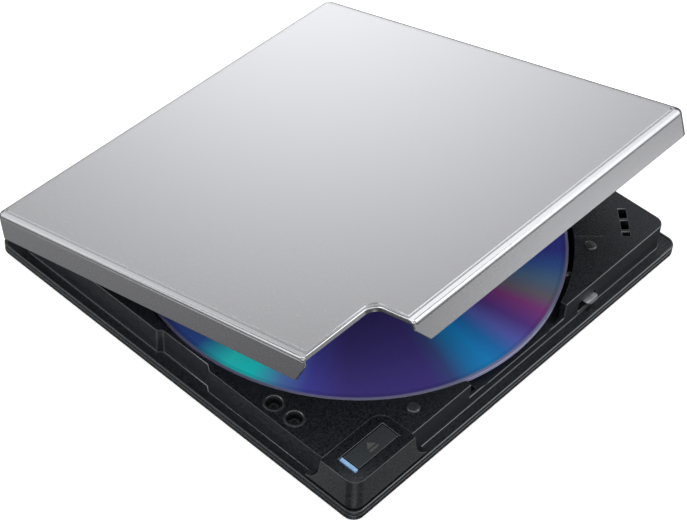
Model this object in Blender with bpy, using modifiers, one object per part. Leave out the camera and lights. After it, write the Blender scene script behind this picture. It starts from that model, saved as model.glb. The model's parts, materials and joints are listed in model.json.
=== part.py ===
"""External optical drive: a slim clamshell case with a hinged lid and a disc on its spindle.

The lid stands partly open. Sizes below are in millimetres and MM turns them into metres.
X runs to the right, Y to the hinge at the back, and Z up from the surface the feet stand on.
"""
import math

import bmesh
import bpy
from mathutils import Euler, Matrix, Vector

MM = 0.001
GAP = 0.3                   # space left between pieces that touch

# Case
HALF = 66.5                 # half of the case's width and of its depth
CORNER_R = 3.3
ORIGIN_Y = -0.5             # centres the open object over its origin
FOOT_Z = 0.9
CASE_Z = (0.6, 2.2)         # bottom case
CASE_FLOOR = 1.6
CASE_WALL = 2.2
CASE_ROUND = 1.5
FOOT_R = 4.0
FLANGE_Z = (2.5, 3.6)       # outer rim of the deck frame
GROOVE_Z = 2.9              # floor of the channel inside the rim's lip
LIP = 0.6

# Deck
DECK_X = 63.4
DECK_FRONT = -63.1
DECK_BACK = 59.3
DECK_TOP = 11.45
DECK_UNDER = 9.4
WALL = 1.4
SIDE_INSET = 1.2            # the side walls step in beside the disc
INSET_Y = (-12.7, -10.9, 5.4, 6.8)
FRONT_GAP = 19.35           # half of the opening in the front wall
FRONT_SILL = 6.2

# Disc well
WELL_Y = -2.9
WELL_R = 61.4
WELL_FLOOR = 5.9
WELL_UNDER = 4.7
RING_R = 62.6

# Disc and spindle
DISC_R = 60.0
DISC_HOLE_R = 7.5
DISC_Z = (8.45, 9.65)

# Corner pad
PAD_X = -42.5
PAD_Y = -52.8
PAD_Z = (3.9, 11.75)
PAD_OUTER = -66.2           # outer walls at the foot, which lean in by PAD_LEAN at the top
PAD_LEAN = 1.7
PAD_ROUND = 1.1
PAD_CORNER = 3.4
PAD_INNER_CORNER = 3.3
PAD_WALL = 2.7
PAD_ROOF = 10.3             # underside of the pad's top
FLARE_R = 5.0               # sweep of the ends of its walls towards the foot

# Open button and its light
BUTTON_X = (-59.6, -45.2)
BUTTON_Y = (-61.2, -55.9)
BUTTON_LIP = 0.9            # hidden edge that keeps the button under the pad
STEM_X = -52.4
STEM_Y = -58.5
LIGHT_X = (-61.0, -60.0)

# Hinge
HINGE_Y = 62.3
HINGE_Z = 8.6
KNUCKLE_R = 2.2
BORE_R = 1.25
PIN_R = 0.9
BASE_KNUCKLE_X = (44.0, 49.7)
LID_KNUCKLE_X = (50.0, 55.7)

# Lid
LID_OPEN_DEG = 16.1
LID_Z = (6.3, 14.55)
LID_TOP = 14.8              # raised middle of the lid
LID_UNDER = 13.75
LID_SKIN = 1.1
LID_ROUND = 1.7
LID_CORNER = 2.4
LID_LEAN = 0.5              # the sides lean in by this much from their foot to the top
TOP_INSET = 2.6             # from the lid's side to its raised middle
TOP_CORNER = 1.0
LID_RIM_Z = 13.1            # lower edge of the rim around the notch
END_Z = 11.7                # where the skirts' ends start to slant away from the notch
SIDE_END_Y = -48.2
FRONT_END_X = -36.5
NOTCH_X = -41.7
NOTCH_Y = -53.1
NOTCH_CORNER = 3.2
NOTCH_RIM = 0.8
NOTCH_STEP = 0.9            # the raised middle stays this far back from the notch
LINER_Z = (12.6, 13.4)
LINER_RIM_Z = 7.0
LINER_HALF = 65.1
LINER_WALL = 0.7
LINER_CORNER = 1.4

# Pick-up carriage, along a line from the spindle to the front right corner
TRAVERSE_TURN = -45.0
ROD_Y = 11.5
ROD_Z = 4.6
ROD_R = 1.0
SCREW_Y = 15.4
SCREW_Z = 5.3
LENS_X = 30.0

# Port block on the right side
PORT_Y = (26.5, 45.5)
PORT_TOP = 9.3
PORT_GAP_Z = 9.9            # top of the lid's gap over the block
USB_Y = (29.3, 41.9)
USB_Z = (4.2, 7.1)
USB_SHEET = 0.35            # thickness of the socket's metal shell

ROUND_STEPS = 6


# ---------------------------------------------------------------- scene and materials

def clear_scene():
    for obj in list(bpy.data.objects):
        bpy.data.objects.remove(obj)


def collection(name):
    group = bpy.data.collections.new(name)
    bpy.context.scene.collection.children.link(group)
    return group


clear_scene()
PARTS = collection("external_optical_drive")
HELPERS = collection("helpers")


def material(name, colour, roughness, metallic=0.0):
    mat = bpy.data.materials.new(name)
    mat.use_nodes = True
    shader = mat.node_tree.nodes["Principled BSDF"]
    shader.inputs["Base Color"].default_value = (*colour, 1.0)
    shader.inputs["Roughness"].default_value = roughness
    shader.inputs["Metallic"].default_value = metallic
    return mat


BLACK = material("textured_black", (0.025, 0.026, 0.029), 0.55)
LINER_BLACK = material("liner_black", (0.03, 0.03, 0.032), 0.6)
SILVER = material("satin_silver", (0.74, 0.74, 0.75), 0.35, 0.9)
STEEL = material("steel", (0.62, 0.62, 0.63), 0.3, 1.0)
DARK_STEEL = material("dark_steel", (0.12, 0.12, 0.13), 0.4, 0.9)
ZINC = material("zinc", (0.45, 0.46, 0.48), 0.45, 0.8)
RUBBER = material("rubber", (0.02, 0.02, 0.02), 0.85)
BOARD = material("board", (0.02, 0.14, 0.06), 0.5)
CHIP = material("chip", (0.015, 0.015, 0.017), 0.45)
FLEX = material("flex", (0.55, 0.3, 0.08), 0.4)
LIGHT = material("light_pipe", (0.75, 0.88, 1.0), 0.2)
LENS = material("lens_glass", (0.35, 0.45, 0.7), 0.05)
DISC = material("disc", (0.2, 0.17, 0.45), 0.15, 0.7)
HUB = material("hub_grey", (0.3, 0.3, 0.32), 0.5)


# ---------------------------------------------------------------- building blocks

def add_object(name, mesh, where, mat, frame=None):
    """Link a mesh at a place in millimetres; with no material it is a helper, not a part."""
    obj = bpy.data.objects.new(name, mesh)
    obj.location = Vector(where) * MM
    if frame is None:
        obj.location.y += ORIGIN_Y * MM
    else:
        obj.parent = frame
    if mat is None:
        HELPERS.objects.link(obj)
        obj.hide_render = True
        obj.display_type = "WIRE"
    else:
        PARTS.objects.link(obj)
        mesh.materials.append(mat)
    return obj


def mesh_from(name, bm, scale=(1.0, 1.0, 1.0)):
    bmesh.ops.scale(bm, vec=Vector(scale) * MM, verts=bm.verts)
    mesh = bpy.data.meshes.new(name)
    bm.to_mesh(mesh)
    bm.free()
    return mesh


def box(name, x, y, z, mat=None, frame=None):
    """Block between three pairs of faces."""
    bm = bmesh.new()
    bmesh.ops.create_cube(bm, size=1.0)
    size = (x[1] - x[0], y[1] - y[0], z[1] - z[0])
    centre = (sum(x) / 2, sum(y) / 2, sum(z) / 2)
    return add_object(name, mesh_from(name, bm, size), centre, mat, frame)


def cylinder(name, radius, span, centre, mat=None, frame=None, axis="Z", sides=24):
    """Round bar along an axis; centre holds the two coordinates across it, in axis order."""
    bm = bmesh.new()
    bmesh.ops.create_cone(bm, cap_ends=True, segments=sides, radius1=radius,
                          radius2=radius, depth=span[1] - span[0])
    middle = sum(span) / 2
    where = (centre[0], centre[1], middle)
    if axis == "X":
        bmesh.ops.rotate(bm, matrix=Matrix.Rotation(math.pi / 2, 3, "Y"), verts=bm.verts)
        where = (middle, centre[0], centre[1])
    mesh = mesh_from(name, bm)
    shade_round(mesh)
    return add_object(name, mesh, where, mat, frame)


def shade_round(mesh):
    mesh.shade_smooth()
    mesh.set_sharp_from_angle(angle=math.radians(35))


def rounded(corners, steps=ROUND_STEPS):
    """Closed outline through (x, y, radius) corners, each radius turned into an arc."""
    outline = []
    count = len(corners)
    for index, (x, y, radius) in enumerate(corners):
        corner = Vector((x, y))
        if radius == 0:
            outline.append(corner)
            continue
        before = (Vector(corners[index - 1][:2]) - corner).normalized()
        after = (Vector(corners[(index + 1) % count][:2]) - corner).normalized()
        half_angle = before.angle(after) / 2
        reach = radius / math.tan(half_angle)
        centre = corner + (before + after).normalized() * radius / math.sin(half_angle)
        start = corner + before * reach - centre
        turn = start.angle_signed(corner + after * reach - centre)
        for step in range(steps + 1):
            spin = Matrix.Rotation(-turn * step / steps, 2)
            outline.append(centre + spin @ start)
    return outline


def rectangle(x, y, radius):
    return rounded([(x[0], y[0], radius), (x[1], y[0], radius),
                    (x[1], y[1], radius), (x[0], y[1], radius)])


def plate(name, outline, span, mat=None, frame=None, across="Z"):
    """Flat outline given thickness over span along Z, or along Y or X for upright plates."""
    curve = bpy.data.curves.new(name, "CURVE")
    curve.dimensions = "2D"
    curve.fill_mode = "BOTH"
    curve.extrude = (span[1] - span[0]) / 2
    spline = curve.splines.new("POLY")
    spline.points.add(len(outline) - 1)
    for point, (u, v) in zip(spline.points, outline):
        point.co = (u, v, 0.0, 1.0)
    spline.use_cyclic_u = True
    flat = bpy.data.objects.new(name, curve)
    HELPERS.objects.link(flat)
    bpy.context.view_layer.update()
    graph = bpy.context.evaluated_depsgraph_get()
    solid = bpy.data.meshes.new_from_object(flat.evaluated_get(graph))
    bpy.data.objects.remove(flat)
    bm = bmesh.new()
    bm.from_mesh(solid)
    bpy.data.meshes.remove(solid)
    bmesh.ops.remove_doubles(bm, verts=bm.verts, dist=0.001)
    middle = sum(span) / 2
    where = (0.0, 0.0, middle)
    if across == "Y":
        bmesh.ops.rotate(bm, matrix=Matrix.Rotation(math.pi / 2, 3, "X"), verts=bm.verts)
        where = (0.0, middle, 0.0)
    if across == "X":
        quarter_turns = Euler((math.pi / 2, 0.0, math.pi / 2)).to_matrix()
        bmesh.ops.rotate(bm, matrix=quarter_turns, verts=bm.verts)
        where = (middle, 0.0, 0.0)
    return add_object(name, mesh_from(name, bm), where, mat, frame)


def turned(name, profile, mat, frame=None, closed=False, steps=48):
    """Profile of (radius, height) points, down its outer side, turned about Z."""
    mesh = bpy.data.meshes.new(name)
    points = [(radius * MM, 0.0, height * MM) for radius, height in profile]
    edges = [(index, index + 1) for index in range(len(points) - 1)]
    if closed:
        edges.append((len(points) - 1, 0))
    mesh.from_pydata(points, edges, [])
    obj = add_object(name, mesh, (0.0, 0.0, 0.0), mat, frame)
    screw = obj.modifiers.new("turn", "SCREW")
    screw.steps = steps
    screw.render_steps = steps
    screw.use_merge_vertices = True
    screw.merge_threshold = 0.00001
    screw.use_smooth_shade = True
    return obj


def ring(name, inner, outer, z, mat, frame=None, steps=48):
    profile = [(outer, z[1]), (outer, z[0]), (inner, z[0]), (inner, z[1])]
    return turned(name, profile, mat, frame, closed=True, steps=steps)


def boolean(obj, other, operation):
    change = obj.modifiers.new(other.name, "BOOLEAN")
    change.operation = operation
    change.solver = "EXACT"
    change.object = other


def cut(obj, *others):
    for other in others:
        boolean(obj, other, "DIFFERENCE")


def join(obj, *others):
    for other in others:
        boolean(obj, other, "UNION")


def keep_inside(obj, other):
    boolean(obj, other, "INTERSECT")


def round_edges(obj, width, segments=3):
    bevel = obj.modifiers.new("rounded edges", "BEVEL")
    bevel.width = width * MM
    bevel.segments = segments
    bevel.limit_method = "ANGLE"
    bevel.angle_limit = math.radians(50)


def lean_in(piece, centre, share):
    """Draw the top of an upright plate in towards a point, so that its walls lean."""
    for vertex in piece.data.vertices:
        if vertex.co.z > 0:
            vertex.co.xy = centre + (vertex.co.xy - centre) * share


def empty(name, where, rotation):
    frame = bpy.data.objects.new(name, None)
    frame.location = (Vector(where) + Vector((0.0, ORIGIN_Y, 0.0))) * MM
    frame.rotation_euler = rotation
    PARTS.objects.link(frame)
    return frame


HINGE = empty("lid_hinge", (0, HINGE_Y, HINGE_Z), (math.radians(-LID_OPEN_DEG), 0, 0))
SPINDLE = empty("spindle_axis", (0, WELL_Y, 0), (0, 0, 0))
TRAVERSE = empty("traverse_line", (0, WELL_Y, 0), (0, 0, math.radians(TRAVERSE_TURN)))


# ---------------------------------------------------------------- bottom case and feet

CASE_SCREWS = [(-56.0, 52.0), (56.0, 52.0), (-47.5, -46.0), (59.0, -30.0)]
FEET = [(-52.0, 41.0), (52.0, 41.0), (-54.0, -30.0), (46.0, -46.0)]


def bottom_case():
    case = plate("bottom_case", rectangle((-HALF, HALF), (-HALF, HALF), CORNER_R),
                 (CASE_Z[0], 6.0), BLACK)
    round_edges(case, CASE_ROUND)
    cut(case, box("case_above", (-80, 80), (-80, 80), (CASE_Z[1], 9)))
    inner = HALF - CASE_WALL
    cut(case, plate("case_hollow", rectangle((-inner, inner), (-inner, inner), 3.0),
                    (CASE_FLOOR, 4.0)))
    for index, where in enumerate(CASE_SCREWS):
        cut(case, cylinder(f"case_screw_hole_{index}", 2.3, (0, 3), where, sides=20))
    for index, where in enumerate(FEET):
        cut(case, cylinder(f"foot_recess_{index}", FOOT_R + GAP, (0, 1.1), where))


def feet():
    for index, (x, y) in enumerate(FEET):
        foot = cylinder(f"foot_{index + 1}", FOOT_R, (0, FOOT_Z), (x, y), RUBBER)
        round_edges(foot, 0.25, 1)


def case_screws():
    for index, (x, y) in enumerate(CASE_SCREWS):
        profile = [(0, 7.4), (0.8, 7.4), (0.8, 1.7), (1.9, 1.7), (1.9, 0.8), (0.9, 0.8),
                   (0.5, 1.2), (0, 1.2)]
        screw = turned(f"case_screw_{index + 1}", profile, DARK_STEEL, steps=16)
        screw.location += Vector((x, y, 0.0)) * MM


# ---------------------------------------------------------------- deck frame

DECK_SCREWS = [(-59.3, -31.8), (-59.2, -38.9)]
STUDS = [(-35.6, -57.6), (41.3, -53.9)]


def deck_outline():
    """Outline of the raised deck: inset sides, and a corner left free for the pad."""
    low, step_low, step_high, high = INSET_Y
    inner = DECK_X - SIDE_INSET
    pad_x = PAD_X + GAP
    pad_y = PAD_Y + GAP
    return rounded([
        (DECK_X, DECK_FRONT, 3.0), (DECK_X, low, 0), (inner, step_low, 0),
        (inner, step_high, 0), (DECK_X, high, 0), (DECK_X, DECK_BACK, 2.0),
        (-DECK_X, DECK_BACK, 2.0), (-DECK_X, high, 0), (-inner, step_high, 0),
        (-inner, step_low, 0), (-DECK_X, low, 0), (-DECK_X, pad_y, 0),
        (pad_x, pad_y, 3.6), (pad_x, DECK_FRONT, 0)])


def hollow_outline(wall):
    """Space inside the deck's walls, clear of the pad's corner."""
    x = DECK_X - wall
    front = DECK_FRONT + wall
    return rounded([
        (x, front, 1.5), (x, DECK_BACK - wall, 1.5), (-x, DECK_BACK - wall, 1.5),
        (-x, PAD_Y + GAP + wall, 0), (PAD_X + GAP + wall, PAD_Y + GAP + wall, 0),
        (PAD_X + GAP + wall, front, 0)])


def well_cylinder(name, radius, z):
    return cylinder(name, radius, z, (0.0, WELL_Y), sides=96)


def deck_hollows(deck):
    cut(deck, plate("deck_low_hollow", hollow_outline(2.4), (1.5, WELL_UNDER)))
    corners = plate("deck_corner_hollow", hollow_outline(WALL), (4.2, DECK_UNDER))
    cut(corners, well_cylinder("deck_ring_keep", RING_R, (3, 12)))
    cut(deck, corners)
    bosses = [(2.6, 2.0, where) for where in CASE_SCREWS]
    bosses += [(3.0, 4.0, where) for where in DECK_SCREWS]
    for index, (radius, low, where) in enumerate(bosses):
        join(deck, cylinder(f"deck_boss_{index}", radius, (low, DECK_UNDER + 0.4), where))
    for index, where in enumerate(CASE_SCREWS):
        cut(deck, cylinder(f"deck_pilot_{index}", 1.15, (1, 8.2), where, sides=16))


def deck_well(deck):
    cut(deck, well_cylinder("well", WELL_R, (WELL_FLOOR, 14)))
    cut(deck, box("front_opening", (-FRONT_GAP, FRONT_GAP), (-70, -60.2), (FRONT_SILL, 14)))
    cut(deck, box("traverse_opening", (-12.5, 67.5), (-14, 18), (1, 8.7), frame=TRAVERSE))


def deck_top_details(deck):
    slope = [(60.0, 10.55), (71.5, DECK_TOP), (71.5, 13.0), (60.0, 13.0)]
    cut(deck, plate("finger_slope", slope, (-3.0, 7.4), frame=TRAVERSE, across="Y"))
    for index, span in enumerate([(3.9, 7.4), (-0.5, 2.9), (-3.0, -1.5)]):
        cut(deck, box(f"slot_{index}", (74.7, 76.7), span, (8, 13), frame=TRAVERSE))
    for index, where in enumerate(DECK_SCREWS):
        join(deck, cylinder(f"recess_rim_{index}", 2.75, (10.5, DECK_TOP + 0.15), where))
        cut(deck, cylinder(f"recess_{index}", 2.25, (8.3, 13), where))
    for index, where in enumerate(STUDS):
        join(deck, cylinder(f"stud_{index}", 1.6, (10.5, DECK_TOP + 0.25), where, sides=16))


def deck_openings(deck):
    cut(deck, box("latch_window", (25.6, 33.2), (-65, -60.3), (3.9, 7.2)))
    block = [(PORT_Y[0] - 2, 3.2), (PORT_Y[1] + 2, 3.2), (PORT_Y[1], PORT_TOP),
             (PORT_Y[0], PORT_TOP)]
    join(deck, plate("port_block", block, (61.6, HALF - GAP), across="X"))
    cut(deck, box("port_window", (56, 70), (USB_Y[0] - GAP, USB_Y[1] + GAP),
                  (USB_Z[0] - GAP, USB_Z[1] + GAP)))


def deck_knuckles(deck):
    for side in (-1, 1):
        x = sorted(side * end for end in BASE_KNUCKLE_X)
        tag = "left" if side < 0 else "right"
        join(deck, box(f"knuckle_web_{tag}", x, (58.4, HINGE_Y), (6.5, 10.7)))
        join(deck, cylinder(f"knuckle_{tag}", KNUCKLE_R, x, (HINGE_Y, HINGE_Z), axis="X"))
        long_x = (x[0] - 2, x[1] + 2)
        cut(deck, cylinder(f"knuckle_bore_{tag}", BORE_R, long_x, (HINGE_Y, HINGE_Z),
                           axis="X", sides=16))


def deck_frame():
    deck = plate("deck_frame", rectangle((-HALF, HALF), (-HALF, HALF), CORNER_R), FLANGE_Z,
                 BLACK)
    inner = HALF - LIP
    cut(deck, plate("groove", rectangle((-inner, inner), (-inner, inner), CORNER_R - LIP),
                    (GROOVE_Z, 5)))
    join(deck, plate("deck_block", deck_outline(), (FLANGE_Z[0] + 0.1, DECK_TOP)))
    deck_hollows(deck)
    deck_well(deck)
    deck_top_details(deck)
    deck_openings(deck)
    deck_knuckles(deck)


def deck_screws():
    for index, (x, y) in enumerate(DECK_SCREWS):
        profile = [(0, 9.4), (0.4, 9.4), (0.7, 9.9), (1.5, 9.9), (1.5, 8.7), (0, 8.7)]
        screw = turned(f"deck_screw_{index + 1}", profile, DARK_STEEL, steps=20)
        screw.location += Vector((x, y, 0.0)) * MM


# ---------------------------------------------------------------- corner pad, button and light

def flare(edge):
    """Outline of a wall's end, from the pad's edge out to the foot in a round sweep."""
    foot = PAD_Z[0]
    sweep = [math.radians(180 + 76 * step / ROUND_STEPS) for step in range(ROUND_STEPS + 1)]
    curve = [(edge + FLARE_R * (1 + math.cos(turn)), foot + FLARE_R * (1 + math.sin(turn)))
             for turn in sweep]
    back = edge - 1.5
    return [(back, curve[0][1])] + curve + [(curve[-1][0], foot - 1), (back, foot - 1)]


def corner_pad():
    """Shell around the open button: leaning walls whose ends sweep out to its foot."""
    foot = PAD_Z[0]
    below = 2.0
    far = -20.0
    pad = plate("corner_pad", rectangle((PAD_OUTER, far), (PAD_OUTER, far), PAD_CORNER),
                (foot - below, PAD_Z[1]), BLACK)
    share = (far - PAD_OUTER - PAD_LEAN) / (far - PAD_OUTER)
    lean_in(pad, Vector((far, far)) * MM, share)
    round_edges(pad, PAD_ROUND, 5)
    cut(pad, box("pad_below", (-80, 0), (-80, 0), (0, foot)))
    plan = plate("pad_plan", rounded([(-70, -70, 0), (PAD_X, -70, 0),
                                      (PAD_X, PAD_Y, PAD_INNER_CORNER), (-70, PAD_Y, 0)]),
                 (foot - 1, 13))
    join(plan, plate("pad_front_flare", flare(PAD_X), (-70, DECK_FRONT - 0.4), across="Y"),
         plate("pad_side_flare", flare(PAD_Y), (-70, -DECK_X - 0.35), across="X"))
    keep_inside(pad, plan)
    inner = PAD_OUTER + PAD_WALL
    cut(pad, box("pad_hollow", (inner, PAD_X - 1.4), (inner, PAD_Y - 1.4), (2, PAD_ROOF)))
    cut(pad, box("button_hole", (LIGHT_X[0] - GAP, BUTTON_X[1] + GAP),
                 (BUTTON_Y[0] - GAP, BUTTON_Y[1] + GAP), (9, 13)))


def open_button():
    """Cap with a lip under the pad and a stem over the switch."""
    top = PAD_Z[1] + 0.1
    button = box("open_button", BUTTON_X, BUTTON_Y, (9.2, top), BLACK)
    lip = box("button_lip", (BUTTON_X[0], BUTTON_X[1] + BUTTON_LIP),
              (BUTTON_Y[0] - BUTTON_LIP, BUTTON_Y[1] + BUTTON_LIP), (8.6, 9.9))
    stem = cylinder("button_stem", 1.3, (7.8, 9.0), (STEM_X, STEM_Y))
    join(button, lip, stem)


def light_and_switch():
    box("led_light_pipe", LIGHT_X, BUTTON_Y, (7.0, PAD_Z[1] + 0.05), LIGHT)
    box("status_led", (-61.3, -59.7), (-59.0, -58.0), (5.2, 5.9), LIGHT)
    box("button_board", (-63.0, -44.5), (-63.0, -55.0), (3.9, 4.9), BOARD)
    switch = box("tact_switch", (STEM_X - 3, STEM_X + 3), (STEM_Y - 2, STEM_Y + 2),
                 (5.2, 6.4), CHIP)
    join(switch, cylinder("switch_post", 1.1, (6.0, 6.9), (STEM_X, STEM_Y), sides=16))


# ---------------------------------------------------------------- latch

def latch():
    head = [(27.5, 6.7), (30.1, 4.3), (32.8, 4.4), (32.6, 6.5)]
    hook = plate("latch_hook", head, (-64.2, -60.9), ZINC, across="Y")
    join(hook, box("hook_slider", (29.6, 35.0), (-61.3, -59.6), (5.5, 7.0)))
    line = (-60.2, 6.4)
    cylinder("latch_pushrod", 0.7, (35.3, 46.0), line, STEEL, axis="X", sides=12)
    body = box("latch_solenoid", (42.8, 54.0), (-61.4, -57.6), (5.0, 8.8), DARK_STEEL)
    cut(body, cylinder("solenoid_bore", 0.95, (40, 50), line, axis="X", sides=16))
    latch_spring(line)


def latch_spring(line):
    """Return spring wound around the push rod."""
    turns = 5
    per_turn = 10
    radius = 1.15
    start, end = 35.7, 42.1
    count = turns * per_turn
    curve = bpy.data.curves.new("latch_spring", "CURVE")
    curve.dimensions = "3D"
    curve.bevel_depth = 0.22 * MM
    curve.bevel_resolution = 1
    curve.use_fill_caps = True
    spline = curve.splines.new("POLY")
    spline.points.add(count)
    for index, point in enumerate(spline.points):
        angle = 2 * math.pi * index / per_turn
        x = start + (end - start) * index / count
        place = Vector((x, radius * math.cos(angle), radius * math.sin(angle))) * MM
        point.co = (*place, 1.0)
    spring = bpy.data.objects.new("latch_spring", curve)
    spring.location = Vector((0.0, line[0] + ORIGIN_Y, line[1])) * MM
    PARTS.objects.link(spring)
    curve.materials.append(STEEL)


# ---------------------------------------------------------------- boards, chips and socket

def electronics():
    outline = [(-52.5, 22.0), (60.5, 22.0), (60.5, 47.5), (52.5, 47.5), (52.5, 56.0),
               (-52.5, 56.0)]
    plate("main_board", outline, (2.1, 3.1), BOARD)
    chip_z = (3.4, 4.3)
    box("controller_chip", (-12.0, 2.0), (33.0, 47.0), chip_z, CHIP)
    box("motor_driver_chip", (14.0, 22.0), (30.0, 38.0), chip_z, CHIP)
    box("memory_chip", (-28.0, -18.0), (36.0, 42.0), chip_z, CHIP)
    flex_z = (3.4, 3.6)
    plate("traverse_flex", [(-6.0, 24.0), (0.0, 24.0), (-9.0, 13.0), (-14.0, 13.0)],
          flex_z, FLEX)
    plate("button_flex", [(-44.0, 24.0), (-44.0, 28.0), (-56.0, 28.0), (-56.0, -49.5),
                          (-51.0, -49.5), (-51.0, 24.0)], flex_z, FLEX)


def usb_socket():
    """Open-ended metal shell with a contact tongue inside."""
    shell = box("usb_shell", (54.8, HALF - GAP), USB_Y, USB_Z, STEEL)
    cut(shell, box("usb_mouth", (55.3, 70), (USB_Y[0] + USB_SHEET, USB_Y[1] - USB_SHEET),
                   (USB_Z[0] + USB_SHEET, USB_Z[1] - USB_SHEET)))
    middle = sum(USB_Z) / 2
    box("usb_tongue", (55.7, 64.8), (USB_Y[0] + 1.4, USB_Y[1] - 1.4),
        (middle - 0.35, middle + 0.35), CHIP)


# ---------------------------------------------------------------- spindle and disc

def spindle():
    ring("spindle_stator", 1.5, 10.2, (3.3, 4.6), DARK_STEEL, SPINDLE)
    profile = [(0, 10.6), (5.6, 10.6), (7.1, 9.9), (7.1, 7.5), (12.0, 7.5), (12.0, 7.1),
               (10.8, 7.1), (10.8, 4.9), (1.1, 4.9), (1.1, 3.5), (0, 3.5)]
    table = turned("turntable", profile, HUB, SPINDLE)
    for index in range(3):
        claw = box(f"claw_{index}", (-1.1, 1.1), (5.0, 7.9), (9.95, 10.4), frame=SPINDLE)
        claw.location = Matrix.Rotation(math.radians(120 * index), 3, "Z") @ claw.location
        claw.rotation_euler.z = math.radians(120 * index)
        join(table, claw)
    ring("turntable_pad", 9.0, 11.6, (7.8, 8.15), RUBBER, SPINDLE)
    ring("disc", DISC_HOLE_R, DISC_R, DISC_Z, DISC, SPINDLE, steps=96)


# ---------------------------------------------------------------- traverse

def chassis():
    frame = plate("traverse_chassis",
                  [(-18, -13), (67, -13), (67, -2), (72, -2), (72, 6), (67, 6), (67, 16.4),
                   (-18, 16.4)], (2.2, 3.0), DARK_STEEL, TRAVERSE)
    cut(frame, box("chassis_window", (14.5, 63.5), (-9, 9), (1, 4), frame=TRAVERSE))
    brackets = [(12.6, -12.9, -9.8, 6.3), (65.0, -12.9, -9.8, 6.3), (12.6, 9.8, 17.0, 6.9),
                (65.0, 9.8, 13.1, 6.3)]
    for index, (x, low, high, top) in enumerate(brackets):
        join(frame, box(f"bracket_{index}", (x, x + 1.2), (low, high), (2.6, top),
                        frame=TRAVERSE))
    for index, y in enumerate((-ROD_Y, ROD_Y)):
        cut(frame, cylinder(f"rod_hole_{index}", ROD_R + GAP, (10, 70), (y, ROD_Z),
                            frame=TRAVERSE, axis="X", sides=16))
    cut(frame, cylinder("screw_hole", 1.1, (10, 16), (SCREW_Y, SCREW_Z), frame=TRAVERSE,
                        axis="X", sides=16))
    for index, y in enumerate((-9.5, 12.5)):
        ring_at(f"damper_{index + 1}", (-15.7, y))
    ring_at("damper_3", (69.5, 2.0))


def ring_at(name, where):
    damper = ring(name, 0.9, 1.8, (3.3, 4.3), RUBBER, TRAVERSE, steps=16)
    damper.location = Vector((where[0], where[1], 0.0)) * MM


def drive_line():
    for name, y in (("guide_rod_front", -ROD_Y), ("guide_rod_back", ROD_Y)):
        cylinder(name, ROD_R, (12.9, 65.9), (y, ROD_Z), STEEL, TRAVERSE, "X", 16)
    cylinder("stepper_motor", 1.8, (60.5, 66.5), (SCREW_Y, SCREW_Z), ZINC, TRAVERSE, "X", 20)
    cylinder("lead_screw", 0.8, (13.0, 60.2), (SCREW_Y, SCREW_Z), STEEL, TRAVERSE, "X", 12)


def pickup():
    sled = box("pickup_sled", (LENS_X - 8, LENS_X + 5.5), (-13.3, 13.3), (3.5, 6.9), ZINC,
               TRAVERSE)
    for index, y in enumerate((-ROD_Y, ROD_Y)):
        cut(sled, cylinder(f"sled_bore_{index}", ROD_R + GAP, (5, 70), (y, ROD_Z),
                           frame=TRAVERSE, axis="X", sides=16))
    follower = box("follower", (LENS_X - 6, LENS_X - 3), (13.0, 15.9), (6.45, 7.1),
                   frame=TRAVERSE)
    join(sled, follower)
    holder = box("lens_holder", (LENS_X - 3.5, LENS_X + 3.5), (-4.5, 4.5), (7.25, 7.8), CHIP,
                 TRAVERSE)
    cut(holder, cylinder("lens_seat", 2.1, (6, 9), (LENS_X, 0.0), frame=TRAVERSE, sides=20))
    lens = turned("objective_lens", [(0, 8.0), (0.9, 7.9), (1.75, 7.6), (1.75, 7.3),
                                     (0, 7.2)], LENS, TRAVERSE, steps=20)
    lens.location = Vector((LENS_X, 0.0, 0.0)) * MM


# ---------------------------------------------------------------- lid

def lid_plate(name, outline, z, mat=None, across="Z"):
    """Plate given in the closed lid's coordinates, hung on the hinge line."""
    piece = plate(name, outline, z, mat, HINGE, across)
    piece.location -= Vector((0.0, HINGE_Y, HINGE_Z)) * MM
    return piece


def lid_box(name, x, y, z, mat=None):
    piece = box(name, x, y, z, mat, HINGE)
    piece.location -= Vector((0.0, HINGE_Y, HINGE_Z)) * MM
    return piece


def notch_outline(grow):
    """Corner that the lid leaves free over the pad, grown into the lid by some amount."""
    return rounded([(-80, -80, 0), (NOTCH_X + grow, -80, 0),
                    (NOTCH_X + grow, NOTCH_Y + grow, NOTCH_CORNER),
                    (-80, NOTCH_Y + grow, 0)])


def lid_end_cuts(piece, tag, back):
    """Slanting ends of the two skirts beside the notch, and the gap over the port block."""
    low = LID_Z[0] - 1
    side = [(-60, END_Z), (-60, low), (SIDE_END_Y + back, low), (NOTCH_Y + back, END_Z)]
    front = [(-60, END_Z), (-60, low), (FRONT_END_X + back, low), (NOTCH_X + back, END_Z)]
    top = PORT_GAP_Z + back
    port = [(PORT_Y[0] - 4 - back, low), (PORT_Y[1] + 4 + back, low),
            (PORT_Y[1] + 1.5 + back, top), (PORT_Y[0] - 1.5 - back, top)]
    cut(piece, lid_plate(f"{tag}_side_end", side, (-70, -60), across="X"))
    cut(piece, lid_plate(f"{tag}_front_end", front, (-70, -60), across="Y"))
    cut(piece, lid_plate(f"{tag}_port_gap", port, (60, 70), across="X"))


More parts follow.
